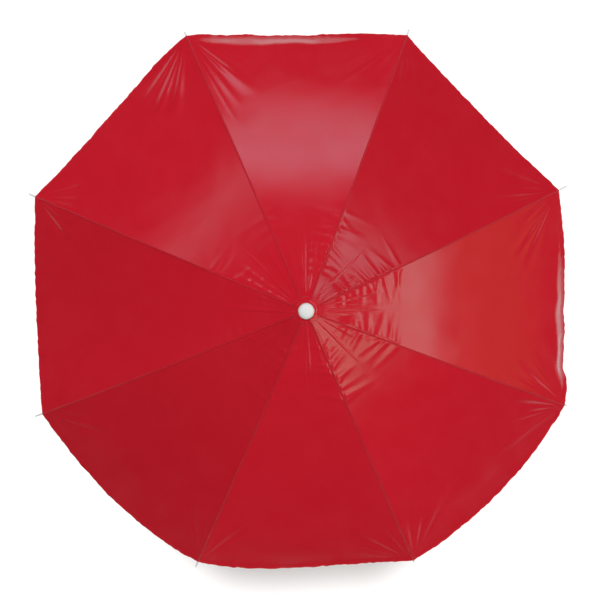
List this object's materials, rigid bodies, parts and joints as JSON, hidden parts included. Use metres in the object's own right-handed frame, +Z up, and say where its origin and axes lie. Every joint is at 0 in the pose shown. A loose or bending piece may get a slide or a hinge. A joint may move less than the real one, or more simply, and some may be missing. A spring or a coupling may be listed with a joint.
{
  "type": "beach umbrella",
  "caption": "Open folding beach umbrella: octagonal fabric canopy on curved wire ribs, with a tilting, height-adjustable pole and a ground spike.",
  "frame": {"origin": "on the pole's axis, at the lower end of the lower pole tube, where the ground spike's shoulder meets it", "axes": "+Z up the pole to the canopy; +X towards the clamp screw and square to one panel's hem; +Y square to another hem, with the tilt joint's button on that side"},
  "size_m": [1.3632, 1.3632, 1.8617],
  "materials": {
    "canopy_fabric": "woven, slightly glossy",
    "pole_enamel": "gloss enamel",
    "rib_wire": "satin enamel",
    "white_plastic": "moulded, satin",
    "grey_plastic": "moulded, satin",
    "steel": "zinc plated"
  },
  "bodies": {
    "lower_pole": {"lower_pole": "pole_enamel", "ground_spike": "white_plastic", "clamp_collar": "white_plastic"},
    "clamp_pad": {"clamp_pad": "grey_plastic"},
    "clamp_screw": {"clamp_screw": "white_plastic"},
    "mid_pole": {"mid_pole": "pole_enamel", "tilt_lower_knuckle": "white_plastic", "tilt_pin": "steel"},
    "tilt_button": {"tilt_button": "white_plastic"},
    "canopy_pole": {"canopy_pole": "pole_enamel", "tilt_upper_knuckle": "white_plastic", "crown": "white_plastic", "crown_ring": "steel", "crown_rivet": "steel", "finial": "white_plastic", "apex_patch": "canopy_fabric"},
    "runner_catch": {"runner_catch": "steel"},
    "rib_1": {"rib_1": "rib_wire", "rib_tip_1": "white_plastic", "rib_clip_1": "steel"},
    "rib_2": {"rib_2": "rib_wire", "rib_tip_2": "white_plastic", "rib_clip_2": "steel"},
    "rib_3": {"rib_3": "rib_wire", "rib_tip_3": "white_plastic", "rib_clip_3": "steel"},
    "rib_4": {"rib_4": "rib_wire", "rib_tip_4": "white_plastic", "rib_clip_4": "steel"},
    "rib_5": {"rib_5": "rib_wire", "rib_tip_5": "white_plastic", "rib_clip_5": "steel"},
    "rib_6": {"rib_6": "rib_wire", "rib_tip_6": "white_plastic", "rib_clip_6": "steel"},
    "rib_7": {"rib_7": "rib_wire", "rib_tip_7": "white_plastic", "rib_clip_7": "steel"},
    "rib_8": {"rib_8": "rib_wire", "rib_tip_8": "white_plastic", "rib_clip_8": "steel"},
    "stretcher_1": {"stretcher_1": "rib_wire"},
    "stretcher_2": {"stretcher_2": "rib_wire"},
    "stretcher_3": {"stretcher_3": "rib_wire"},
    "stretcher_4": {"stretcher_4": "rib_wire"},
    "stretcher_5": {"stretcher_5": "rib_wire"},
    "stretcher_6": {"stretcher_6": "rib_wire"},
    "stretcher_7": {"stretcher_7": "rib_wire"},
    "stretcher_8": {"stretcher_8": "rib_wire"},
    "runner": {"runner": "white_plastic", "runner_ring": "steel"},
    "canopy_panel_1": {"canopy_panel_1": "canopy_fabric"},
    "canopy_panel_2": {"canopy_panel_2": "canopy_fabric"},
    "canopy_panel_3": {"canopy_panel_3": "canopy_fabric"},
    "canopy_panel_4": {"canopy_panel_4": "canopy_fabric"},
    "canopy_panel_5": {"canopy_panel_5": "canopy_fabric"},
    "canopy_panel_6": {"canopy_panel_6": "canopy_fabric"},
    "canopy_panel_7": {"canopy_panel_7": "canopy_fabric"},
    "canopy_panel_8": {"canopy_panel_8": "canopy_fabric"},
    "tie_strap": {"tie_strap": "canopy_fabric"}
  },
  "joints": [
    {"name": "clamp_pad_travel", "type": "slide", "parent": "lower_pole", "child": "clamp_pad", "axis": [1, 0, 0], "range_m": [0, 0.0015]},
    {"name": "clamp_screw_turn", "type": "hinge", "parent": "clamp_pad", "child": "clamp_screw", "pos_m": [0.02, 0, 0.897], "axis": [1, 0, 0], "range_deg": [0, 480]},
    {"name": "height_slide", "type": "slide", "parent": "lower_pole", "child": "mid_pole", "axis": [0, 0, 1], "range_m": [-0.17, 0.05]},
    {"name": "tilt", "type": "hinge", "parent": "mid_pole", "child": "canopy_pole", "pos_m": [0, 0, 1.14], "axis": [0, 1, 0], "range_deg": [-35, 0]},
    {"name": "tilt_button_press", "type": "slide", "parent": "mid_pole", "child": "tilt_button", "axis": [0, -1, 0], "range_m": [0, 0.0025], "stiffness_N_per_m": 1500, "springref_m": -0.001},
    {"name": "runner_catch_press", "type": "slide", "parent": "canopy_pole", "child": "runner_catch", "axis": [-1, 0, 0], "range_m": [0, 0.0034], "stiffness_N_per_m": 1500, "springref_m": -0.001},
    {"name": "fold", "type": "hinge", "parent": "canopy_pole", "child": "rib_1", "pos_m": [0.01293, 0.00536, 1.735], "axis": [-0.3827, 0.9239, 0], "range_deg": [0, 61.5]},
    {"name": "rib_fold_2", "type": "hinge", "parent": "canopy_pole", "child": "rib_2", "pos_m": [0.00536, 0.01293, 1.735], "axis": [-0.9239, 0.3827, 0], "range_deg": [0, 61.5]},
    {"name": "rib_fold_3", "type": "hinge", "parent": "canopy_pole", "child": "rib_3", "pos_m": [-0.00536, 0.01293, 1.735], "axis": [-0.9239, -0.3827, 0], "range_deg": [0, 61.5]},
    {"name": "rib_fold_4", "type": "hinge", "parent": "canopy_pole", "child": "rib_4", "pos_m": [-0.01293, 0.00536, 1.735], "axis": [-0.3827, -0.9239, 0], "range_deg": [0, 61.5]},
    {"name": "rib_fold_5", "type": "hinge", "parent": "canopy_pole", "child": "rib_5", "pos_m": [-0.01293, -0.00536, 1.735], "axis": [0.3827, -0.9239, 0], "range_deg": [0, 61.5]},
    {"name": "rib_fold_6", "type": "hinge", "parent": "canopy_pole", "child": "rib_6", "pos_m": [-0.00536, -0.01293, 1.735], "axis": [0.9239, -0.3827, 0], "range_deg": [0, 61.5]},
    {"name": "rib_fold_7", "type": "hinge", "parent": "canopy_pole", "child": "rib_7", "pos_m": [0.00536, -0.01293, 1.735], "axis": [0.9239, 0.3827, 0], "range_deg": [0, 61.5]},
    {"name": "rib_fold_8", "type": "hinge", "parent": "canopy_pole", "child": "rib_8", "pos_m": [0.01293, -0.00536, 1.735], "axis": [0.3827, 0.9239, 0], "range_deg": [0, 61.5]},
    {"name": "stretcher_fold_1", "type": "hinge", "parent": "rib_1", "child": "stretcher_1", "pos_m": [0.23106, 0.09571, 1.65373], "axis": [-0.3827, 0.9239, 0], "range_deg": [-123, 0]},
    {"name": "stretcher_fold_2", "type": "hinge", "parent": "rib_2", "child": "stretcher_2", "pos_m": [0.09571, 0.23106, 1.65373], "axis": [-0.9239, 0.3827, 0], "range_deg": [-123, 0]},
    {"name": "stretcher_fold_3", "type": "hinge", "parent": "rib_3", "child": "stretcher_3", "pos_m": [-0.09571, 0.23106, 1.65373], "axis": [-0.9239, -0.3827, 0], "range_deg": [-123, 0]},
    {"name": "stretcher_fold_4", "type": "hinge", "parent": "rib_4", "child": "stretcher_4", "pos_m": [-0.23106, 0.09571, 1.65373], "axis": [-0.3827, -0.9239, 0], "range_deg": [-123, 0]},
    {"name": "stretcher_fold_5", "type": "hinge", "parent": "rib_5", "child": "stretcher_5", "pos_m": [-0.23106, -0.09571, 1.65373], "axis": [0.3827, -0.9239, 0], "range_deg": [-123, 0]},
    {"name": "stretcher_fold_6", "type": "hinge", "parent": "rib_6", "child": "stretcher_6", "pos_m": [-0.09571, -0.23106, 1.65373], "axis": [0.9239, -0.3827, 0], "range_deg": [-123, 0]},
    {"name": "stretcher_fold_7", "type": "hinge", "parent": "rib_7", "child": "stretcher_7", "pos_m": [0.09571, -0.23106, 1.65373], "axis": [0.9239, 0.3827, 0], "range_deg": [-123, 0]},
    {"name": "stretcher_fold_8", "type": "hinge", "parent": "rib_8", "child": "stretcher_8", "pos_m": [0.23106, -0.09571, 1.65373], "axis": [0.3827, 0.9239, 0], "range_deg": [-123, 0]},
    {"name": "runner_follow", "type": "hinge", "parent": "stretcher_1", "child": "runner", "pos_m": [0.01293, 0.00536, 1.57246], "axis": [-0.3827, 0.9239, 0], "range_deg": [0, 61.5]},
    {"name": "panel_fold_1", "type": "hinge", "parent": "canopy_pole", "child": "canopy_panel_1", "pos_m": [0.00915, 0.00915, 1.735], "axis": [-0.7071, 0.7071, 0], "range_deg": [0, 60.1], "deforming": ["canopy_panel_1"]},
    {"name": "panel_fold_2", "type": "hinge", "parent": "canopy_pole", "child": "canopy_panel_2", "pos_m": [0, 0.01293, 1.735], "axis": [-1, 0, 0], "range_deg": [0, 60.1], "deforming": ["canopy_panel_2"]},
    {"name": "panel_fold_3", "type": "hinge", "parent": "canopy_pole", "child": "canopy_panel_3", "pos_m": [-0.00915, 0.00915, 1.735], "axis": [-0.7071, -0.7071, 0], "range_deg": [0, 60.1], "deforming": ["canopy_panel_3"]},
    {"name": "panel_fold_4", "type": "hinge", "parent": "canopy_pole", "child": "canopy_panel_4", "pos_m": [-0.01293, 0, 1.735], "axis": [0, -1, 0], "range_deg": [0, 60.1], "deforming": ["canopy_panel_4"]},
    {"name": "panel_fold_5", "type": "hinge", "parent": "canopy_pole", "child": "canopy_panel_5", "pos_m": [-0.00915, -0.00915, 1.735], "axis": [0.7071, -0.7071, 0], "range_deg": [0, 60.1], "deforming": ["canopy_panel_5"]},
    {"name": "panel_fold_6", "type": "hinge", "parent": "canopy_pole", "child": "canopy_panel_6", "pos_m": [0, -0.01293, 1.735], "axis": [1, 0, 0], "range_deg": [0, 60.1], "deforming": ["canopy_panel_6"]},
    {"name": "panel_fold_7", "type": "hinge", "parent": "canopy_pole", "child": "canopy_panel_7", "pos_m": [0.00915, -0.00915, 1.735], "axis": [0.7071, 0.7071, 0], "range_deg": [0, 60.1], "deforming": ["canopy_panel_7"]},
    {"name": "panel_fold_8", "type": "hinge", "parent": "canopy_pole", "child": "canopy_panel_8", "pos_m": [0.01293, 0, 1.735], "axis": [0, 1, 0], "range_deg": [0, 60.1], "deforming": ["canopy_panel_8"]},
    {"name": "strap_hang", "type": "hinge", "parent": "canopy_panel_6", "child": "tie_strap", "pos_m": [0, -0.668, 1.42079], "axis": [1, 0, 0], "range_deg": [-60.1, 0]}
  ],
  "couplings": [
    {"joint": "clamp_pad_travel", "follows": "clamp_screw_turn", "m_per_rad": 0.000179},
    {"joint": "rib_fold_2", "follows": "fold", "ratio": 1},
    {"joint": "rib_fold_3", "follows": "fold", "ratio": 1},
    {"joint": "rib_fold_4", "follows": "fold", "ratio": 1},
    {"joint": "rib_fold_5", "follows": "fold", "ratio": 1},
    {"joint": "rib_fold_6", "follows": "fold", "ratio": 1},
    {"joint": "rib_fold_7", "follows": "fold", "ratio": 1},
    {"joint": "rib_fold_8", "follows": "fold", "ratio": 1},
    {"joint": "stretcher_fold_1", "follows": "fold", "ratio": -2},
    {"joint": "stretcher_fold_2", "follows": "fold", "ratio": -2},
    {"joint": "stretcher_fold_3", "follows": "fold", "ratio": -2},
    {"joint": "stretcher_fold_4", "follows": "fold", "ratio": -2},
    {"joint": "stretcher_fold_5", "follows": "fold", "ratio": -2},
    {"joint": "stretcher_fold_6", "follows": "fold", "ratio": -2},
    {"joint": "stretcher_fold_7", "follows": "fold", "ratio": -2},
    {"joint": "stretcher_fold_8", "follows": "fold", "ratio": -2},
    {"joint": "runner_follow", "follows": "fold", "ratio": 1},
    {"joint": "panel_fold_1", "follows": "fold", "ratio": 0.977},
    {"joint": "panel_fold_2", "follows": "fold", "ratio": 0.977},
    {"joint": "panel_fold_3", "follows": "fold", "ratio": 0.977},
    {"joint": "panel_fold_4", "follows": "fold", "ratio": 0.977},
    {"joint": "panel_fold_5", "follows": "fold", "ratio": 0.977},
    {"joint": "panel_fold_6", "follows": "fold", "ratio": 0.977},
    {"joint": "panel_fold_7", "follows": "fold", "ratio": 0.977},
    {"joint": "panel_fold_8", "follows": "fold", "ratio": 0.977},
    {"joint": "strap_hang", "follows": "fold", "ratio": -0.977}
  ]
}
